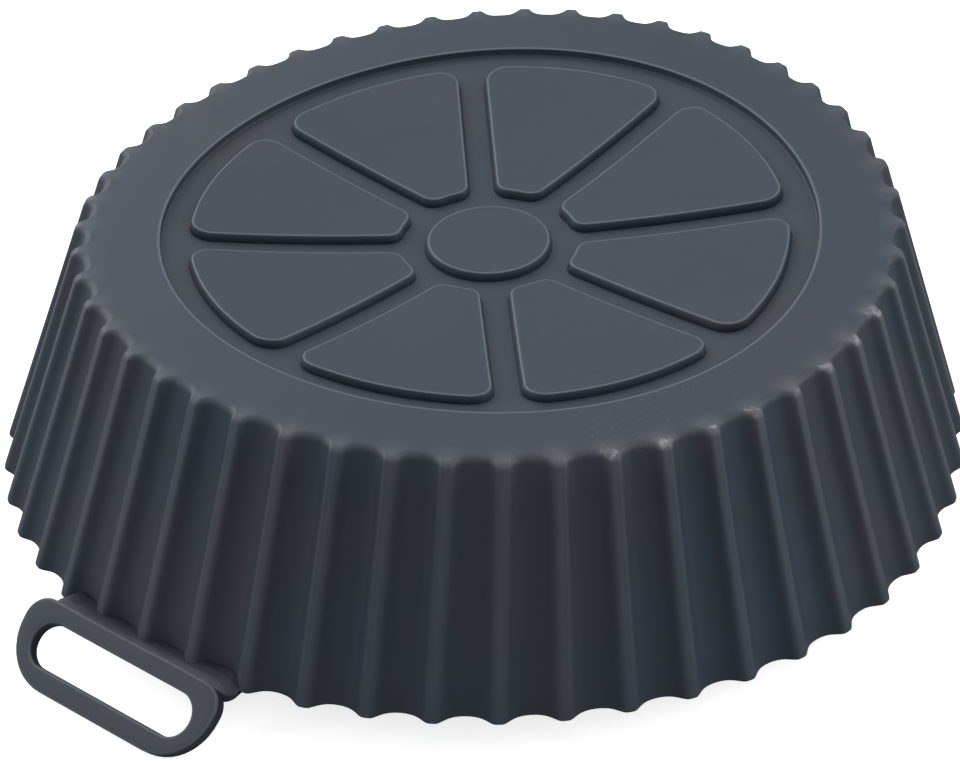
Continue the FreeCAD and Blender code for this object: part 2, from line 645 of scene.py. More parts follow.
@dataclass
class Flex:
    """How the soft liner has sagged and spread on its two handles."""

    wall: Wall
    drop: float
    base_rise: float = 2.34 * MM
    base_turn: float = math.radians(3.7)
    dent: float = 1.6 * MM
    dent_turn: float = math.radians(262)
    dent_width: float = math.radians(48)
    flat_radius: float = 68 * MM
    rim_rise: float = 2.75 * MM
    rim_turn: float = math.radians(27.4)
    rim_tilt: float = 0.75 * MM
    tilt_turn: float = math.radians(-92.7)
    rim_shift: tuple[float, float] = (-1.74 * MM, 1.89 * MM)
    stiff_radius: float = 102 * MM
    stiff_width: float = 3 * MM

    def __post_init__(self) -> None:
        """Work out how far all has settled, with the tip of the near handle on the floor."""
        self.settled = self.wall.rim + self.rise(NEAR_HANDLE.turn) + NEAR_HANDLE.lift - self.drop

    def rise(self, turn: float | np.ndarray) -> float | np.ndarray:
        """Return how far the rim is raised at some angles."""
        saddle = self.rim_rise * np.cos(2 * (turn - self.rim_turn))
        return saddle + self.rim_tilt * np.cos(turn - self.tilt_turn)

    @staticmethod
    def read(mesh: bpy.types.Mesh) -> tuple[np.ndarray, np.ndarray, np.ndarray]:
        """Read where a mesh's points are.

        Args:
            mesh: The mesh.

        Returns:
            Its points, with their distances from the axis and their angles round it.
        """
        flat = np.empty(len(mesh.vertices) * 3)
        mesh.vertices.foreach_get("co", flat)
        points = flat.reshape(-1, 3)
        return points, np.hypot(points[:, 0], points[:, 1]), np.arctan2(points[:, 1], points[:, 0])

    def bend(self, piece: bpy.types.Object) -> None:
        """Bend the moulding or its pads.

        Args:
            piece: The piece, whose points are moved.
        """
        points, radius, turn = self.read(piece.data)
        share = np.clip((points[:, 2] - self.wall.rim) / self.wall.depth, 0, 1)
        spread = (radius / self.wall.base_radius) ** 2
        base = self.base_rise * np.cos(2 * (turn - self.base_turn)) * spread
        rim = self.rise(turn) * np.minimum(spread, 1)
        points[:, 2] += share * base + (1 - share) * rim - self.settled
        away = np.abs((turn - self.dent_turn + math.pi) % math.tau - math.pi) / self.dent_width
        outer = np.clip((radius - self.flat_radius) / (self.wall.base_radius - self.flat_radius), 0, 1)
        inward = self.dent * np.exp(-(away**2)) * outer * share / np.maximum(radius, MM)
        points[:, :2] *= (1 - inward)[:, None]
        points[:, :2] += np.outer(1 - share, self.rim_shift)
        piece.data.vertices.foreach_set("co", points.ravel())
        piece.data.update()

    def carry(self, piece: bpy.types.Object, hang: Hang) -> None:
        """Move a handle with its part of the rim; only its root bends with the wall.

        Args:
            piece: The handle, whose points are moved.
            hang: How it hangs.
        """
        points, radius, turn = self.read(piece.data)
        share = np.clip((self.stiff_radius - radius) / self.stiff_width, 0, 1)
        level = self.rise(hang.turn)
        points[:, 2] += level + share * (self.rise(turn) - level) - self.settled
        points[:, :2] += self.rim_shift
        piece.data.vertices.foreach_set("co", points.ravel())
        piece.data.update()


@dataclass(frozen=True)
class SharedGroup:
    """A group of shader nodes that all the materials share."""

    name: str

    def build(self) -> bpy.types.NodeTree:
        """Build the group's tree."""
        raise NotImplementedError

    def join(self, graph: Graph, given: dict[str, object]) -> bpy.types.Node:
        """Add the group to a material, and build it if this is its first use.

        Args:
            graph: The material's nodes.
            given: What each of its inputs gets, by name.

        Returns:
            The group's node.
        """
        tree = bpy.data.node_groups.get(self.name) or self.build()
        node = graph.add("ShaderNodeGroup", node_tree=tree)
        for label, value in given.items():
            graph.feed(node.inputs[label], value)
        return node


@dataclass(frozen=True)
class DustSpecks(SharedGroup):
    """Fine specks of dust in loose clouds, on the flat ring and mostly on one side.

    spots, clouds, side and heights are the ranges over which each of them rises from none to full.
    """

    name: str = "Dust specks"
    speck: Pattern = Pattern(1300.0, 1.0)
    cloud: Pattern = Pattern(70.0, 3.0, 0.6)
    spots: tuple[float, float] = (0.58, 0.80)
    clouds: tuple[float, float] = (0.38, 0.68)
    side: tuple[float, float] = (0.86, 0.99)
    heights: tuple[float, float] = (53.5 * MM, 56.5 * MM)
    elsewhere: float = 0.15

    def build(self) -> bpy.types.NodeTree:
        """Build the group.

        Returns:
            Its tree, whose mask says how much dust there is.
        """
        graph, given, end = open_group(
            self.name,
            "ShaderNodeTree",
            {
                "Place": ("NodeSocketVector", None),
                "Side": ("NodeSocketVector", DUSTY_SIDE),
                "Fineness": ("NodeSocketFloat", self.speck.scale),
                "Lowest": ("NodeSocketFloat", self.heights[0]),
                "Highest": ("NodeSocketFloat", self.heights[1]),
                "Amount": ("NodeSocketFloat", 0.0),
            },
            {"Mask": "NodeSocketFloat"},
        )
        specks = graph.span(graph.noise(given["Place"], self.speck, given["Fineness"]), *self.spots)
        clouds = graph.span(graph.noise(given["Place"], self.cloud), *self.clouds)
        side = graph.side(given["Place"], given["Side"], *self.side)
        side = graph.math("MULTIPLY_ADD", side, 1 - self.elsewhere, self.elsewhere)
        parts = graph.add("ShaderNodeSeparateXYZ")
        graph.feed(parts.inputs[0], given["Place"])
        lying = graph.span(parts.outputs["Z"], given["Lowest"], given["Highest"])
        mask = graph.math("MULTIPLY", specks, clouds)
        for share in (side, lying, given["Amount"]):
            mask = graph.math("MULTIPLY", mask, share)
        graph.feed(end.inputs["Mask"], mask)
        return graph.tree


@dataclass(frozen=True)
class MouldedGrain(SharedGroup):
    """The fine texture that the mould leaves, coarse lumps along the handles, and a slow drift of tone."""

    name: str = "Moulded grain"
    fine: Pattern = Pattern(1500.0, 3.0, 0.6)
    lump: Pattern = Pattern(760.0, 3.0, 0.6)
    drift: Pattern = Pattern(26.0, 3.0, 0.6)
    lump_stretch: tuple[float, float, float] = (1.0, 0.28, 1.0)
    lump_height: float = 24.0

    def build(self) -> bpy.types.NodeTree:
        """Build the group.

        Returns:
            Its tree, which puts out the height of the grain and the drift of the tone.
        """
        graph, given, end = open_group(
            self.name,
            "ShaderNodeTree",
            {
                "Place": ("NodeSocketVector", None),
                "Fineness": ("NodeSocketFloat", self.fine.scale),
                "Coarse": ("NodeSocketFloat", 0.0),
            },
            {"Height": "NodeSocketFloat", "Tone": "NodeSocketFloat"},
        )
        fine = graph.noise(given["Place"], self.fine, given["Fineness"])
        lumps = graph.noise(graph.scaled(given["Place"], self.lump_stretch), self.lump)
        rough = graph.math("MULTIPLY", lumps, graph.math("MULTIPLY", given["Coarse"], self.lump_height))
        graph.feed(end.inputs["Height"], graph.math("ADD", fine, rough))
        graph.feed(end.inputs["Tone"], graph.noise(given["Place"], self.drift))
        return graph.tree


@dataclass(frozen=True)
class ChalkyRubbing(SharedGroup):
    """Pale crumbs, and a thin veil under them, where the ridges' ends have been rubbed.

    start is how strong the patterns must be to show where nothing is rubbed, and ease how much less that is
    where it is rubbed most.
    """

    name: str = "Chalky rubbing"
    crumb: Pattern = Pattern(800.0, 3.0, 0.65)
    patch: Pattern = Pattern(170.0, 2.0)
    side: tuple[float, float] = (0.72, 0.95)
    elsewhere: float = 0.40
    crumb_share: float = 0.60
    patch_share: float = 0.45
    start: float = 0.80
    ease: float = 0.36
    contrast: float = 4.5
    veil: tuple[float, float] = (0.3, 0.7)
    least_veil: float = 0.5

    def build(self) -> bpy.types.NodeTree:
        """Build the group.

        Returns:
            Its tree, which puts out the masks of the crumbs and of the veil.
        """
        graph, given, end = open_group(
            self.name,
            "ShaderNodeTree",
            {
                "Place": ("NodeSocketVector", None),
                "Where": ("NodeSocketFloat", 0.0),
                "Side": ("NodeSocketVector", RUBBED_SIDE),
                "Amount": ("NodeSocketFloat", 0.0),
            },
            {"Mask": "NodeSocketFloat", "Veil": "NodeSocketFloat"},
        )
        side = graph.side(given["Place"], given["Side"], *self.side)
        side = graph.math("MULTIPLY_ADD", side, 1 - self.elsewhere, self.elsewhere)
        patches = graph.noise(given["Place"], self.patch)
        crumbs = graph.math("MULTIPLY", graph.noise(given["Place"], self.crumb), self.crumb_share)
        mixed = graph.math("MULTIPLY_ADD", patches, self.patch_share, crumbs)
        rubbed = graph.math("MULTIPLY", given["Where"], side)
        limit = graph.math("MULTIPLY_ADD", rubbed, -self.ease, self.start)
        mask = graph.math("MULTIPLY", graph.math("SUBTRACT", mixed, limit), self.contrast, clamp=True)
        shown = graph.math("MULTIPLY", given["Where"], given["Amount"])
        graph.feed(end.inputs["Mask"], graph.math("MULTIPLY", mask, shown))
        cover = graph.span(patches, *self.veil, self.least_veil)
        graph.feed(end.inputs["Veil"], graph.math("MULTIPLY", cover, graph.math("MULTIPLY", side, shown)))
        return graph.tree


@dataclass(frozen=True)
class Silicone:
    """A matte silicone rubber: its colour, its grain and how it has been handled.

    colour and tint are the two tones that it drifts between. The four colours after them are those of its
    rubbed edges, whose pale lines are partly a painted highlight, of dust, of chalk and of the handles'
    coarse skin, which is painted lighter as painted light that lifts its shade.
    """

    name: str
    colour: tuple[float, float, float] = (0.0190, 0.0300, 0.0445)
    tint: tuple[float, float, float] = (0.0232, 0.0290, 0.0420)
    # rub_and_highlight_colour is the pale paint of ridges and edges: partly rubbing, partly a painted
    # highlight
    rub_and_highlight_colour: tuple[float, float, float] = (0.175, 0.195, 0.225)
    dust_colour: tuple[float, float, float] = (0.24, 0.24, 0.24)
    veil_colour: tuple[float, float, float] = (0.25, 0.25, 0.25)
    chalk_colour: tuple[float, float, float] = (0.27, 0.27, 0.28)
    # coarse_skin_lift_colour is lighter than the rubber: painted light that lifts the shade on the handles'
    # rough roots
    coarse_skin_lift_colour: tuple[float, float, float] = (0.045, 0.052, 0.062)
    drift: tuple[float, float] = (0.35, 0.65)
    roughness: float = 0.56
    refraction: float = 1.42
    grain: float = 0.25
    grain_height: float = 0.06 * MM
    dust: float = 0.13
    chalk: float = 0.0
    veil: float = 0.20
    # crest_rub_and_highlight paints the ridges pale: partly rubbing, partly a painted highlight line
    crest_rub_and_highlight: float = 0.0
    # edge_rub_and_highlight paints rounded edges pale: a painted highlight with some rubbing
    edge_rub_and_highlight: float = 0.40
    coarse: float = 0.0
    # coarse_skin_lift is how far the rough skin is painted lighter, as painted light lifting its shade
    coarse_skin_lift: float = 0.35

    def tone(self, graph: Graph, place: object, drift: object, rough: object) -> bpy.types.NodeSocket:
        """Return the colour, with dust, rubbing, painted highlights and a painted lift of shade on the
        coarse skin laid over the drifting tone.

        Args:
            graph: The material's nodes.
            place: Where on the piece.
            drift: The value that the tone follows.
            rough: How coarse the skin is, which also sets how much painted light lifts its shade.

        Returns:
            The colour's socket.
        """
        shoulder = graph.mark(Spot.SHOULDER)
        dust = DustSpecks().join(graph, {"Place": place, "Amount": self.dust})
        chalk = ChalkyRubbing().join(graph, {"Place": place, "Where": shoulder, "Amount": self.chalk})
        crest = graph.math("MULTIPLY", graph.mark(Spot.CREST), self.crest_rub_and_highlight)
        edge = graph.math("MULTIPLY", graph.mark(Spot.EDGE), self.edge_rub_and_highlight)
        # Ridges and edges are painted pale, partly rubbing and partly a painted highlight
        layers = (
            (graph.math("MAXIMUM", crest, edge), self.rub_and_highlight_colour),
            (dust.outputs["Mask"], self.dust_colour),
            (graph.math("MULTIPLY", chalk.outputs["Veil"], self.veil), self.veil_colour),
            (chalk.outputs["Mask"], self.chalk_colour),
            # painted light that lifts the shade on the coarse skin
            (graph.math("MULTIPLY", rough, self.coarse_skin_lift), self.coarse_skin_lift_colour),
        )
        colour = graph.blend(graph.span(drift, *self.drift), (*self.colour, 1), (*self.tint, 1))
        for share, laid in layers:
            colour = graph.blend(share, colour, (*laid, 1))
        return colour

    def material(self) -> bpy.types.Material:
        """Build the material.

        Returns:
            The material, with its Principled shader fed by the shared groups.
        """
        made = bpy.data.materials.new(self.name)
        made.use_nodes = True
        graph = Graph(made.node_tree)
        place = graph.add("ShaderNodeTexCoord").outputs["Object"]
        rough = graph.math("MULTIPLY", graph.mark(Spot.ROUGH), self.coarse)
        grain = MouldedGrain().join(graph, {"Place": place, "Coarse": rough})
        bump = graph.add("ShaderNodeBump")
        bump.inputs["Strength"].default_value = self.grain
        bump.inputs["Distance"].default_value = self.grain_height
        graph.feed(bump.inputs["Height"], grain.outputs["Height"])
        shader = graph.add("ShaderNodeBsdfPrincipled")
        graph.feed(shader.inputs["Base Color"], self.tone(graph, place, grain.outputs["Tone"], rough))
        graph.feed(shader.inputs["Normal"], bump.outputs["Normal"])
        shader.inputs["Roughness"].default_value = self.roughness
        shader.inputs["IOR"].default_value = self.refraction
        end = graph.add("ShaderNodeOutputMaterial")
        graph.feed(end.inputs["Surface"], shader.outputs["BSDF"])
        return made


@dataclass
class Moulding:
    """The fluted wall and the dished underside, built as one wedge and repeated once for each flute."""

    wall: Wall
    underside: Underside
    ridge_shoulder: float = 1.9 * MM
    scoop_shoulder: float = 1.9 * MM
    hold: float = 0.2 * MM
    rim_rounding: float = 0.6 * MM
    inside_corner: float = 3.0 * MM
    coarse_end: float = 70 * MM
    fine_start: float = 73.5 * MM
    inner_fine: float = 69 * MM
    # The crest marks paint each ridge pale: a rubbed band crest_width wide, and a painted highlight line
    # crest_line wide
    crest_start: float = 80 * MM
    crest_start_width: float = 3 * MM
    crest_width: float = 3.0 * MM
    crest_fade: float = 0.8 * MM
    crest_slope: float = 4.0
    crest_share: float = 0.7
    crest_line: float = 0.45 * MM
    shoulder_line: float = 0.3 * MM
    # shoulder_rub_and_highlight paints a pale line along the shoulder's edge: a painted highlight with some
    # rubbing
    shoulder_rub_and_highlight: float = 0.22
    rub_radius: float = 81.2 * MM
    rub_length: float = 2.2 * MM
    rub_width: float = 3.0 * MM
    rub_drop: float = 1.5 * MM
    finish: Silicone = Silicone("silicone_moulding", chalk=0.95, crest_rub_and_highlight=0.15)

    # Where the columns of half a wedge stand, as shares of it, and one in how many the flat parts have
    STEPS = (0, 0.07, 0.14, 0.20, 0.25, 0.30, 0.35, 0.41, 0.48, 0.57, 0.69, 0.84, 1)
    COARSE = 4
    # The rings of the dish from the middle outwards, and those of the inside floor from its edge inwards
    BOWL = (7, 14, 21, 28, 35, 42, 48, 54, 59, 63)
    INSIDE_BOWL = (66, 60, 54, 46, 38, 30, 22, 14, 7)
    # The pieces of each rounding and of each straight stretch
    FOOT_BENDS = 3
    LIP_BENDS = 4
    SHOULDER_BENDS = 9
    RIM_BENDS = 4
    INSIDE_BENDS = 5
    WALL_RUNS = 7
    INSIDE_RUNS = 6
    SHORT_RUNS = 2

    def turns(self) -> np.ndarray:
        """Return the angles of the wedge's columns, closer together near its ridge."""
        half = np.array(self.STEPS) * self.wall.half_pitch
        return np.r_[-half[:0:-1], half]

    def top_rows(self) -> np.ndarray:
        """Trace the dish and the recess's lip.

        Returns:
            The section from near the middle of the dish out to the flat ring.
        """
        low = self.wall.top - self.underside.recess_depth
        edge = self.underside.recess_radius
        bowl = np.array(self.BOWL) * MM
        floor = np.c_[bowl, low - self.underside.dish(bowl)]
        foot = edge - self.underside.foot_radius - self.underside.hold
        drafted = edge + self.underside.draft
        lip = self.underside.lip_radius
        rise = [
            Corner(floor[-1, 0], floor[-1, 1]),
            Corner(foot, low - self.underside.dish(foot)),
            Corner(edge, low, self.underside.foot_radius, self.FOOT_BENDS),
            Corner(drafted, self.wall.top - lip - self.underside.hold),
            Corner(drafted, self.wall.top, lip, self.LIP_BENDS),
            Corner(edge + lip + self.underside.lip_margin, self.wall.top),
            Corner(self.coarse_end, self.wall.top),
        ]
        return np.r_[floor[:-1], path(rise)]

    def inner_rows(self) -> np.ndarray:
        """Trace the inside floor.

        Returns:
            Its section, from its edge in to near the middle.
        """
        level = self.wall.top - self.underside.recess_depth - self.underside.floor
        bowl = np.array(self.INSIDE_BOWL) * MM
        return np.c_[bowl, level - self.underside.dish(bowl)]

    def column(self, turn: float) -> np.ndarray:
        """Trace the wall at one angle.

        Args:
            turn: The angle from the ridge.

        Returns:
            Its section, from the flat ring down the outside, round the rim and up to the inside floor.
        """
        wall = self.wall
        level = wall.top - self.underside.recess_depth - self.underside.floor
        angle = np.array([turn])
        outer_top = wall.outline(wall.top, angle)[0]
        outer_rim = wall.outline(wall.rim, angle)[0]
        inner_rim = wall.outline(wall.rim, angle, Way.INNER)[0]
        inner_top = wall.outline(level, angle, Way.INNER)[0]
        hollow = (wall.ridge(wall.top) - outer_top) / wall.flute_depth
        shoulder = self.ridge_shoulder + (self.scoop_shoulder - self.ridge_shoulder) * hollow
        lean = math.atan2(outer_rim - outer_top, wall.depth)
        held = shoulder * math.tan((math.pi / 2 - lean) / 2) + self.hold
        return path(
            [
                Corner(self.fine_start, wall.top),
                Corner(outer_top - held, wall.top, runs=self.SHORT_RUNS),
                Corner(outer_top, wall.top, shoulder, self.SHOULDER_BENDS),
                Corner(outer_top + held * math.sin(lean), wall.top - held * math.cos(lean)),
                Corner(outer_rim, wall.rim, self.rim_rounding, self.RIM_BENDS, self.WALL_RUNS),
                Corner(inner_rim, wall.rim, self.rim_rounding, self.RIM_BENDS, self.SHORT_RUNS),
                Corner(inner_top, level, self.inside_corner, self.INSIDE_BENDS, self.INSIDE_RUNS),
                Corner(self.inner_fine, level, runs=self.SHORT_RUNS),
            ]
        )

    def rubbed(self, radius: np.ndarray, height: np.ndarray, turns: np.ndarray) -> dict[str, np.ndarray]:
        """Work out how rubbed one row of the wall's points is, and where painted highlights lie on it.

        Args:
            radius: Their distances from the axis.
            height: Their heights.
            turns: Their angles from the ridge.

        Returns:
            The marks of the ridge (a rubbed band with a painted highlight line down it), of its end at the
            shoulder and of the shoulder's edge (a painted highlight with some rubbing), by attribute.
        """
        across = np.abs(turns) * radius
        outer = np.clip((radius - self.crest_start) / self.crest_start_width, 0, 1)
        outer = outer * (radius > self.wall.ridge(height) - self.wall.flute_depth - self.ridge_shoulder)
        beside = self.crest_slope * (across - self.crest_width / 2) / self.crest_fade
        band = (1 - np.tanh(beside / 2)) / 2
        # A thin painted highlight line down the middle of each ridge
        line = np.exp(-((across / self.crest_line) ** 2))
        ridge = outer * (self.crest_share * band + (1 - self.crest_share) * line)
        below = self.wall.top - height
        turning = below / self.shoulder_line - 1
        drop = np.clip(below / self.rub_drop, 0, None)
        inward = np.clip((self.rub_radius - radius) / self.rub_length, 0, None)
        end = np.exp(-(drop**2) - inward**2 - (across / self.rub_width) ** 2)
        # The shoulder's edge: a painted highlight with some rubbing
        edge = self.shoulder_rub_and_highlight * outer * np.exp(-(turning**2))
        return {Spot.CREST.value: ridge, Spot.SHOULDER.value: end, Spot.EDGE.value: edge}

    def wedge(self) -> bpy.types.Mesh:
        """Build one wedge of the moulding.

        Returns:
            Its mesh, with a ridge in its middle.
        """
        turns = self.turns()
        coarse = turns[:: self.COARSE]
        sheet = Sheet()

        def row(
            radius: float | np.ndarray,
            height: float | np.ndarray,
            angles: np.ndarray,
            **marks: float | np.ndarray,
        ) -> np.ndarray:
            """Add a row of points round the axis.

            Args:
                radius: Their distances from the axis.
                height: Their heights.
                angles: Their angles.
                marks: Their marks, by the name of the attribute.

            Returns:
                The numbers of the points.
            """
            radius = np.broadcast_to(radius, angles.shape)
            height = np.broadcast_to(height, angles.shape)
            return sheet.add(np.c_[radius * np.cos(angles), radius * np.sin(angles), height], **marks)

        middle = self.wall.top - self.underside.recess_depth - self.underside.dish_depth
        hub = sheet.add(np.array([[0, 0, middle]]))[0]
        last = None
        lip_middle = self.underside.recess_radius + self.underside.lip_radius
        for radius, height in self.top_rows():
            # The lip of the recess carries a painted highlight line
            away = math.hypot(radius - lip_middle, height - self.wall.top) / self.underside.lip_width
            this = row(radius, height, coarse, edge=math.exp(-(away**2)))
            if last is None:
                sheet.fan(this, hub, True)
            else:
                sheet.band(last, this)
            last = this

        columns = np.array([self.column(turn) for turn in turns])
        for place in range(columns.shape[1]):
            radius, height = columns[:, place, 0], columns[:, place, 1]
            this = row(radius, height, turns, **self.rubbed(radius, height, turns))
            if place == 0:
                sheet.spread(last, this, True)
            else:
                sheet.band(last, this)
            last = this

        for place, (radius, height) in enumerate(self.inner_rows()):
            this = row(radius, height, coarse)
            if place == 0:
                sheet.spread(this, last, False)
            else:
                sheet.band(last, this)
            last = this
        hub = sheet.add(np.array([[0, 0, middle - self.underside.floor]]))[0]
        sheet.fan(last, hub, False)
        return sheet.mesh("moulding_wedge")

    def build(self, ring: RingOfCopies) -> bpy.types.Object:
        """Return the whole moulding."""
        return ring.repeat("liner_moulding", self.wedge(), self.wall.flutes, 0.0, self.finish.material())


@dataclass
class Pads:
    """The raised pads in the recess: a ring of wedges and a round one in the middle."""

    wall: Wall
    underside: Underside
    count: int = 8
    ring_radius: float = 60.4 * MM
    bore_radius: float = 18 * MM
    gap: float = 5.7 * MM
    outer_corner: float = 4.4 * MM
    inner_corner: float = 3.3 * MM
    round_radius: float = 12.5 * MM
    edge_radius: float = 0.36 * MM
    # rim_width is the width of the painted highlight along each pad's top edge
    rim_width: float = 0.18 * MM
    hold: float = 0.36 * MM
    shelf: float = 2.2 * MM
    draft: float = 0.60 * MM
    inset: float = 0.20 * MM
    proud: float = 0.15 * MM
    sunk: float = 0.5 * MM
    finish: Silicone = Silicone("silicone_pads", dust=0.10)

    # The pieces of a wedge's outline and of the round pad's, and of the sections over them
    TIP_PIECES = 10
    SIDE_PIECES = 8
    HEEL_PIECES = 9
    OUTER_PIECES = 12
    BORE_PIECES = 5
    ROUND_PIECES = 96
    EDGE_BENDS = 4
    SHORT_RUNS = 2
    # The sizes of the rings on a pad's top, as shares of its outline
    TOP_RINGS = (0.82, 0.64, 0.46, 0.30, 0.15)

    def wedge_outline(self) -> np.ndarray:
        """Trace the wedge that is centred on the X axis.

        Returns:
            Its outline, anticlockwise.
        """
        spoke = math.pi / self.count
        side = -self.gap / 2
        outer_side = side - self.outer_corner
        outer_along = math.sqrt((self.ring_radius - self.outer_corner) ** 2 - outer_side**2)
        inner_side = side - self.inner_corner
        inner_along = math.sqrt((self.bore_radius + self.inner_corner) ** 2 - inner_side**2)
        tip = math.atan2(outer_side, outer_along)
        heel = math.atan2(inner_side, inner_along)
        turn = np.array([[math.cos(spoke), math.sin(spoke)], [-math.sin(spoke), math.cos(spoke)]])
        start = np.array([outer_along, outer_side])
        end = np.array([inner_along, inner_side])
        tip_arc = arc_points(start, self.outer_corner, tip, math.pi / 2, self.TIP_PIECES)
        heel_arc = arc_points(end, self.inner_corner, math.pi / 2, math.pi + heel, self.HEEL_PIECES)
        steps = np.linspace(0, 1, self.SIDE_PIECES + 1)[1:-1, None]
        straight = tip_arc[-1] + (heel_arc[0] - tip_arc[-1]) * steps
        half = np.r_[tip_arc, straight, heel_arc] @ turn
        outer = arc_points(np.zeros(2), self.ring_radius, 0, spoke + tip, self.OUTER_PIECES)[:-1]
        inner = arc_points(np.zeros(2), self.bore_radius, spoke + heel, 0, self.BORE_PIECES)[1:]
        upper = np.r_[outer, half, inner]
        lower = upper[-2:0:-1] * (1, -1)
        return np.r_[upper, lower]

    def pad(self, outline: np.ndarray, name: str) -> bpy.types.Mesh:
        """Return a closed pad that rises from the dish over an outline.

        Args:
            outline: Its outline at the level of its top, anticlockwise.
            name: The mesh's name.

        Returns:
            The mesh, in its place on the dish.
        """
        normals = outward(outline)
        rise = self.underside.recess_depth + self.proud
        brink = -self.inset
        section = path(
            [
                Corner(self.draft, -self.sunk),
                Corner(brink, rise, self.edge_radius, self.EDGE_BENDS),
                Corner(brink - self.edge_radius - self.hold, rise, runs=self.SHORT_RUNS),
                Corner(-self.shelf, rise),
            ]
        )
        low = self.wall.top - self.underside.recess_depth
        sheet = Sheet()

        def ring(flat: np.ndarray, height: float, edge: float) -> np.ndarray:
            """Add a ring of points, sunk by the dish."""
            depth = self.underside.dish(np.hypot(flat[:, 0], flat[:, 1]))
            return sheet.add(np.c_[flat, low + height - depth], edge=np.full(len(flat), edge))

        last = None
        for offset, height in section:
            # A painted highlight along the pad's top edge
            away = math.hypot(offset - brink + self.edge_radius / 2, height - rise) / self.rim_width
            this = ring(outline + normals * offset, height, math.exp(-(away**2)))
            if last is None:
                bottom = this
            else:
                sheet.band(this, last, True)
            last = this
        flat = np.array(sheet.points)[last][:, :2]
        centre = flat.mean(axis=0)
        for share in self.TOP_RINGS:
            this = ring(centre + (flat - centre) * share, rise, 0.0)
            sheet.band(this, last, True)
            last = this
        hub = ring(centre[None, :], rise, 0.0)[0]
        sheet.fan(last, hub, True, True)
        under = ring(centre[None, :], -self.sunk, 0.0)[0]
        sheet.fan(bottom, under, False, True)
        return sheet.mesh(name)

    def build(self, ring: RingOfCopies) -> list[bpy.types.Object]:
        """Build all the pads.

        Args:
            ring: What repeats a part round the axis.

        Returns:
            The ring of pads and the round pad.
        """
        finish = self.finish.material()
        wedge = self.pad(self.wedge_outline(), "pad_wedge")
        disc = arc_points(np.zeros(2), self.round_radius, 0, math.tau, self.ROUND_PIECES)[:-1]
        first = math.pi / self.count
        return [
            ring.repeat("liner_pads", wedge, self.count, first, finish),
            ring.repeat("liner_round_pad", self.pad(disc, "round_pad"), 1, 0.0, finish),
        ]


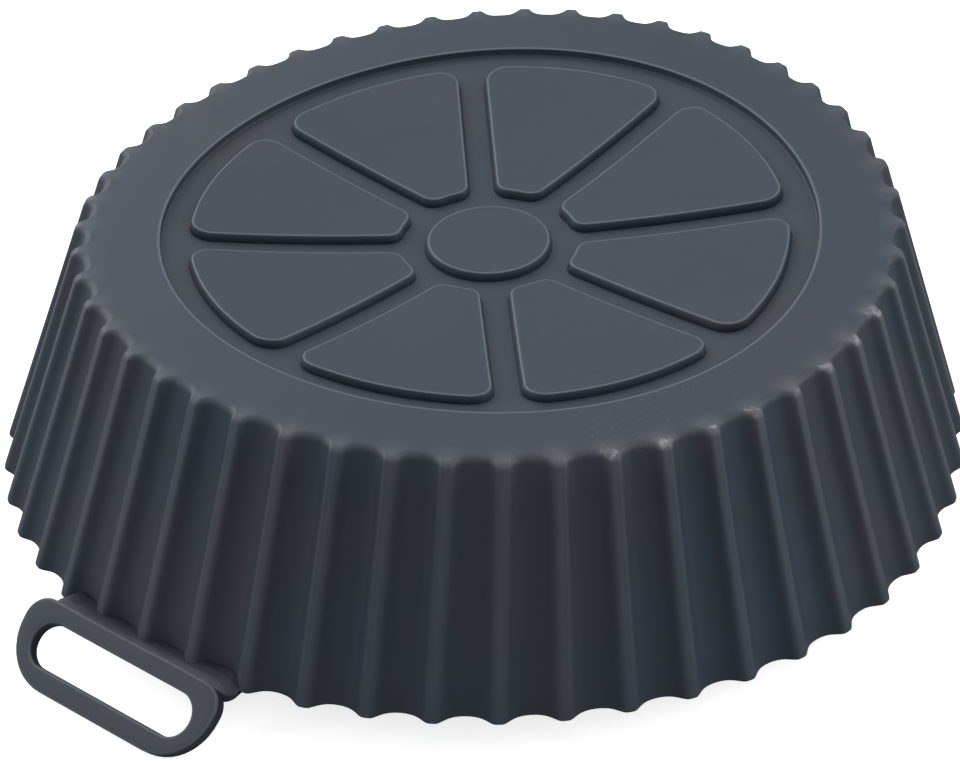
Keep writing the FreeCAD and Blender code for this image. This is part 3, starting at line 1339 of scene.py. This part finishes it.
@dataclass
class Handles:
    """The two loop handles, each with the root that joins it to the rim."""

    wall: Wall
    length: float = 50.2 * MM
    reach: float = 17.2 * MM
    thickness: float = 3.0 * MM
    hinge: float = 100.9 * MM
    outer_corner: float = 11.4 * MM
    inner_corner: float = 4.9 * MM
    edge_radius: float = 0.6 * MM
    slot_length: float = 41.2 * MM
    slot_width: float = 8.95 * MM
    slot_setback: float = 3.9 * MM
    slot_flat: float = 0.02 * MM
    root_length: float = 46.8 * MM
    root_corner: float = 3.0 * MM
    root_step: float = 0.4 * MM
    root_droop: float = 1.7 * MM
    root_depth: float = 2.75 * MM
    # loop_roughness is the loop's share of the rough mark: coarse skin, and a little painted light lifting
    # its shade
    loop_roughness: float = 0.1
    # root_rub_and_highlight paints a pale line along the root's fold: a painted highlight with some rubbing
    root_rub_and_highlight: float = 0.6
    # coarse also paints the rough roots lighter: painted light that lifts their shade
    finish: Silicone = Silicone("silicone_handles", dust=0.08, coarse=1.0)

    # The pieces of the loop's roundings and straight stretches, and the points along the root
    CORNER_BENDS = 12
    LONG_RUNS = 12
    SHORT_RUNS = 2
    EDGE_POINTS = 5
    ROOT_CORNER_POINTS = 8
    ROOT_POINTS = 20
    # Where the rings on the loop's flat faces run, as shares of the way across
    FACE_RINGS = (1 / 3, 2 / 3)

    def drop(self) -> float:
        """Work out how low the near handle reaches.

        Returns:
            How far the tip of its loop lies below its top.
        """
        along = (self.reach - self.edge_radius) * math.sin(NEAR_HANDLE.slope)
        across = (self.thickness - self.edge_radius) * math.cos(NEAR_HANDLE.slope)
        return along + across + self.edge_radius

    def oblong(self, near: float, far: float, half: float, radii: tuple[float, float]) -> np.ndarray:
        """Trace a closed oblong with round corners.

        Args:
            near: Its side towards the hinge.
            far: Its side towards the tip.
            half: Half its length.
            radii: The radii of its far corners and of its near ones.

        Returns:
            Its points, with as many for every oblong.
        """
        tip, heel = radii
        bends, long, short = self.CORNER_BENDS, self.LONG_RUNS, self.SHORT_RUNS
        corners = [
            Corner(far, -half, tip, bends, 1),
            Corner(far, half, tip, bends, long),
            Corner(near, half, heel, bends, short),
            Corner(near, -half, heel, bends, long),
        ]
        return path(corners, closed=True)

    def rounding(
        self,
        flat: np.ndarray,
        normals: np.ndarray,
        upper: bool,
        leaving: bool,
    ) -> list[tuple[np.ndarray, float, float]]:
        """Work out the rings of one rounded edge of the loop.

        Args:
            flat: The outline.
            normals: Its normals, away from the material.
            upper: Whether it is the edge of the upper face.
            leaving: Whether the rings lead from the face to the side, and not back.

        Returns:
            For each ring its outline, how far it lies below the upper face, and its mark, the share of
            painted highlight on the edge.
        """
        angles = np.linspace(0, math.pi / 2, self.EDGE_POINTS)
        rings = []
        for angle in angles if leaving else angles[::-1]:
            inset = self.edge_radius * (1 - math.sin(angle))
            sink = self.edge_radius * (1 - math.cos(angle))
            drop = sink if upper else self.thickness - sink
            rings.append((flat - normals * inset, drop, math.sin(2 * angle)))
        return rings

    def loop(self, sheet: Sheet, hang: Hang) -> None:
        """Add the sloping loop.

        Args:
            sheet: The handle's mesh in the making.
            hang: How the handle hangs.
        """
        outer = self.oblong(0, self.reach, self.length / 2, (self.outer_corner, self.inner_corner))
        bend = self.slot_width / 2 - self.slot_flat
        slot_end = self.slot_setback + self.slot_width
        inner = self.oblong(self.slot_setback, slot_end, self.slot_length / 2, (bend, bend))
        out_normals = outward(outer)
        in_normals = -outward(inner)
        outer_brink = outer - out_normals * self.edge_radius
        inner_brink = inner - in_normals * self.edge_radius
        across = inner_brink - outer_brink
        rings = self.rounding(outer, out_normals, True, True)
        rings += self.rounding(outer, out_normals, False, False)
        rings += [(outer_brink + across * share, self.thickness, 0.0) for share in self.FACE_RINGS]
        rings += self.rounding(inner, in_normals, False, True)
        rings += self.rounding(inner, in_normals, True, False)
        rings += [(inner_brink - across * share, 0.0, 0.0) for share in self.FACE_RINGS]
        fold = Matrix.Rotation(hang.yaw, 3, "Z") @ Matrix.Rotation(hang.slope, 3, "Y")
        hinge = (self.hinge, hang.shift, self.wall.rim + hang.lift)
        numbers = []
        # The edge marks paint a highlight along the loop's rounded edges
        for flat, drop, mark in rings:
            placed = np.c_[flat, np.full(len(flat), -drop)] @ np.array(fold).T + hinge
            # The rough mark gives coarse skin and a little painted light that lifts its shade
            numbers.append(sheet.add(placed, rough=self.loop_roughness, edge=mark))
        for first, second in zip(numbers, numbers[1:] + numbers[:1]):
            sheet.band(second, first, True)

    def root(self, sheet: Sheet, hang: Hang) -> None:
        """Add the root, a plate that runs out of the wall to the fold of the loop.

        Args:
            sheet: The handle's mesh in the making.
            hang: How the handle hangs.
        """
        half = self.root_length / 2
        corner = self.root_corner
        bends = half - corner + corner * np.sin(np.linspace(0, math.pi / 2, self.ROOT_CORNER_POINTS))
        straight = np.linspace(0, half - corner, self.ROOT_POINTS)[:-1]
        side = np.r_[straight, bends]
        side = np.r_[-side[:0:-1], side]
        past = np.clip(np.abs(side) - (half - corner), 0, corner)
        front = self.hinge - corner + np.sqrt(corner**2 - past**2) - side * math.tan(hang.yaw)
        side = side + hang.root_shift
        low = self.wall.rim
        high = low + hang.lift - self.root_step - self.root_droop * (past / corner) ** 2
        edge = self.edge_radius

        def hidden(height: float) -> np.ndarray:
            """Return how far out the root starts, inside the wall, at a height."""
            radius = self.wall.ridge(height) - self.root_depth
            return np.sqrt(radius**2 - side**2)

        rows = [(np.c_[hidden(low), side, np.full_like(side, low)], 0.0)]
        rows.append((np.c_[front, side, np.full_like(side, low)], 0.0))
        # The root's fold carries a painted highlight, with some rubbing
        for angle in np.linspace(0, math.pi / 2, self.EDGE_POINTS):
            inset = edge * (1 - math.cos(angle))
            points = np.c_[front - inset, side, high - edge + edge * math.sin(angle)]
            rows.append((points, self.root_rub_and_highlight * math.sin(2 * angle)))
        rows.append((np.c_[hidden(low), side, high], 0.0))
        # The whole root carries the rough mark: coarse skin, and painted light that lifts its shade
        numbers = [sheet.add(points, rough=1.0, edge=mark) for points, mark in rows]
        for first, second in zip(numbers, numbers[1:] + numbers[:1]):
            sheet.band(first, second)
        sheet.faces.append(tuple(row[0] for row in numbers))
        sheet.faces.append(tuple(row[-1] for row in reversed(numbers)))

    def build(self, ring: RingOfCopies, hang: Hang, finish: bpy.types.Material) -> bpy.types.Object:
        """Build one handle.

        Args:
            ring: What repeats a part round the axis.
            hang: How the handle hangs.
            finish: Its material.

        Returns:
            The handle.
        """
        sheet = Sheet()
        self.loop(sheet, hang)
        self.root(sheet, hang)
        return ring.repeat(hang.name, sheet.mesh("handle"), 1, hang.turn, finish)


@dataclass(frozen=True)
class Panel:
    """A soft panel of light: its place and size in metres and its power in watts."""

    name: str
    place: tuple[float, float, float]
    size: tuple[float, float]
    power: float


PANELS = (
    Panel("overhead", (0.25, 0.25, 1.25), (1.7, 1.7), 13.9),
    Panel("behind", (0.95, 0.85, 0.55), (1.6, 0.9), 2.2),
    Panel("left", (-0.745, 0.81, 0.6), (1.2, 1.0), 8.0),
    Panel("right", (0.745, -0.81, 0.6), (1.2, 1.0), 11.9),
    Panel("front", (-0.81, -0.74, 0.9), (1.2, 1.0), 5.8),
    Panel("behind_left", (0.06, 1.2, 0.55), (1.2, 0.9), 9.8),
    Panel("behind_right", (1.2, -0.05, 0.55), (1.2, 0.9), 1.8),
)


@dataclass
class Studio:
    """A pale floor, soft light and the camera."""

    rim: float
    floor_size: float = 2.3
    floor_tone: float = 0.8
    floor_bounce: float = 0.3
    floor_glow: float = 0.75
    floor_roughness: float = 0.9
    floor_shine: float = 0.1
    room_tone: float = 0.02
    aim: tuple[float, float, float] = (0.0, 0.0, 0.04)
    camera_place: tuple[float, float, float] = (-451.4 * MM, -410.7 * MM, 448.5 * MM)
    heading: float = math.radians(42.57)
    pitch: float = math.radians(35.664)
    roll: float = math.radians(-1.8655)
    lens: float = 135.99
    sensor: float = 36.0
    nearest: float = 0.05
    farthest: float = 20.0

    def floor(self) -> bpy.types.Object:
        """Build the floor.

        Returns:
            The floor, which looks nearly white and throws back less light than that.
        """
        half = self.floor_size / 2
        mesh = bpy.data.meshes.new("floor")
        corners = [(-half, -half, 0), (half, -half, 0), (half, half, 0), (-half, half, 0)]
        mesh.from_pydata(corners, [], [(0, 1, 2, 3)])
        made = bpy.data.objects.new("floor", mesh)
        bpy.context.scene.collection.objects.link(made)
        paint = bpy.data.materials.new("studio_floor")
        paint.use_nodes = True
        graph = Graph(paint.node_tree)
        seen = graph.add("ShaderNodeLightPath").outputs["Is Camera Ray"]
        tones = [(tone, tone, tone, 1) for tone in (self.floor_bounce, self.floor_tone)]
        shader = graph.add("ShaderNodeBsdfPrincipled")
        graph.feed(shader.inputs["Base Color"], graph.blend(seen, *tones))
        shader.inputs["Roughness"].default_value = self.floor_roughness
        shader.inputs["Specular IOR Level"].default_value = self.floor_shine
        shader.inputs["Emission Strength"].default_value = self.floor_glow
        graph.feed(shader.inputs["Emission Color"], graph.blend(seen, (0, 0, 0, 1), (1, 1, 1, 1)))
        end = graph.add("ShaderNodeOutputMaterial")
        graph.feed(end.inputs["Surface"], shader.outputs["BSDF"])
        mesh.materials.append(paint)
        return made

    def light(self, panel: Panel) -> None:
        """Add a soft panel of light that faces the liner.

        Args:
            panel: The panel.
        """
        lamp = bpy.data.lights.new(panel.name, "AREA")
        lamp.shape = "RECTANGLE"
        lamp.size, lamp.size_y = panel.size
        lamp.energy = panel.power
        made = bpy.data.objects.new(panel.name, lamp)
        bpy.context.scene.collection.objects.link(made)
        made.location = panel.place
        aim = Vector(self.aim) - Vector(panel.place)
        made.rotation_euler = aim.to_track_quat("-Z", "Y").to_euler()
        made.visible_camera = False

    def surroundings(self) -> None:
        """Keep the room dim, and show a white backdrop to the camera."""
        world = bpy.data.worlds.new("studio")
        bpy.context.scene.world = world
        world.use_nodes = True
        graph = Graph(world.node_tree)
        seen = graph.add("ShaderNodeBackground")
        seen.inputs["Color"].default_value = (1, 1, 1, 1)
        lit = graph.add("ShaderNodeBackground")
        lit.inputs["Color"].default_value = (self.room_tone, self.room_tone, self.room_tone, 1)
        which = graph.add("ShaderNodeMixShader")
        graph.feed(which.inputs[0], graph.add("ShaderNodeLightPath").outputs["Is Camera Ray"])
        graph.feed(which.inputs[1], lit.outputs[0])
        graph.feed(which.inputs[2], seen.outputs[0])
        end = graph.add("ShaderNodeOutputWorld")
        graph.feed(end.inputs["Surface"], which.outputs[0])

    def camera(self) -> None:
        """Add the camera and make it the scene's own."""
        lens = bpy.data.cameras.new("camera")
        lens.lens = self.lens
        lens.sensor_width = self.sensor
        lens.clip_start = self.nearest
        lens.clip_end = self.farthest
        made = bpy.data.objects.new("camera", lens)
        bpy.context.scene.collection.objects.link(made)
        turn = Matrix.Rotation(self.heading - math.pi / 2, 4, "Z")
        tip = Matrix.Rotation(math.pi / 2 - self.pitch, 4, "X")
        lean = Matrix.Rotation(self.roll, 4, "Z")
        place = Vector(self.camera_place) + Vector((0, 0, self.rim))
        made.matrix_world = Matrix.Translation(place) @ turn @ tip @ lean
        bpy.context.scene.camera = made

    def build(self) -> None:
        """Set the whole studio up."""
        self.floor()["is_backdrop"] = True
        for panel in PANELS:
            self.light(panel)
        self.surroundings()
        self.camera()
        bpy.context.scene.view_settings.view_transform = "Standard"


def hand_over(piece: bpy.types.Object) -> None:
    """Shade a piece smoothly, and tell the frame where it belongs.

    Args:
        piece: The piece, finished and in its place.
    """
    piece.data.shade_smooth()
    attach(piece, BODY)
    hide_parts(NODE)
    log.info("%s: %d points, %d faces", piece.name, len(piece.data.vertices), len(piece.data.polygons))


def main() -> None:
    """Build the liner and its studio, and work out the boxes of the frame and of what was made."""
    logging.basicConfig(level=logging.INFO, format="%(name)s: %(message)s")
    wall = Wall()
    underside = Underside()
    handles = Handles(wall)
    flex = Flex(wall, handles.drop())
    ring = RingOfCopies()
    for piece in (Moulding(wall, underside).build(ring), *Pads(wall, underside).build(ring)):
        flex.bend(piece)
        hand_over(piece)
    finish = handles.finish.material()
    for hang in (NEAR_HANDLE, FAR_HANDLE):
        handle = handles.build(ring, hang, finish)
        flex.carry(handle, hang)
        hand_over(handle)
    Studio(wall.rim - flex.settled).build()
    boxes = {"cad": CAD_BOX, "visual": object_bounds()}
    boxes = {name: [list(corner) for corner in box] for name, box in boxes.items()}


if __name__ == "__main__":
    main()
